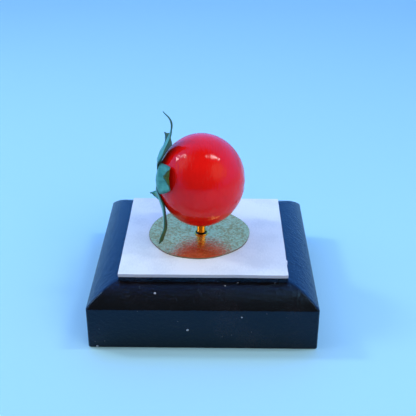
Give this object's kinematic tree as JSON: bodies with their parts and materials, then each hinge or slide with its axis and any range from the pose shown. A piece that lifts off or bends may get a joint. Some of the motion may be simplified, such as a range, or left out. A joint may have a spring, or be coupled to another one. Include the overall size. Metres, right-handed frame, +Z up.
{
  "type": "tomato on display stand",
  "caption": "Glossy round tomato with a star-shaped leafy calyx, held on its side by a brass post over a gold disc and a white card on a black block with routed edges.",
  "frame": {"origin": "centre of the block's underside", "axes": "+Z up, +X to the right of the view in which the calyx is on the left, -Y to the front"},
  "size_m": [0.076, 0.076, 0.0706],
  "materials": {
    "tomato_skin": "smooth glossy skin",
    "sepal_green": "matte leaf with a slight sheen",
    "polished_brass": "polished",
    "gold_card": "gold mirror face, slightly grained",
    "white_card": "matte white",
    "black_paint": "satin black paint"
  },
  "bodies": {
    "root": {"tomato_fruit": "tomato_skin", "tomato_calyx": "sepal_green", "brass_post": "polished_brass", "gold_disc": "gold_card", "card": "white_card", "plinth": "black_paint"}
  },
  "joints": []
}
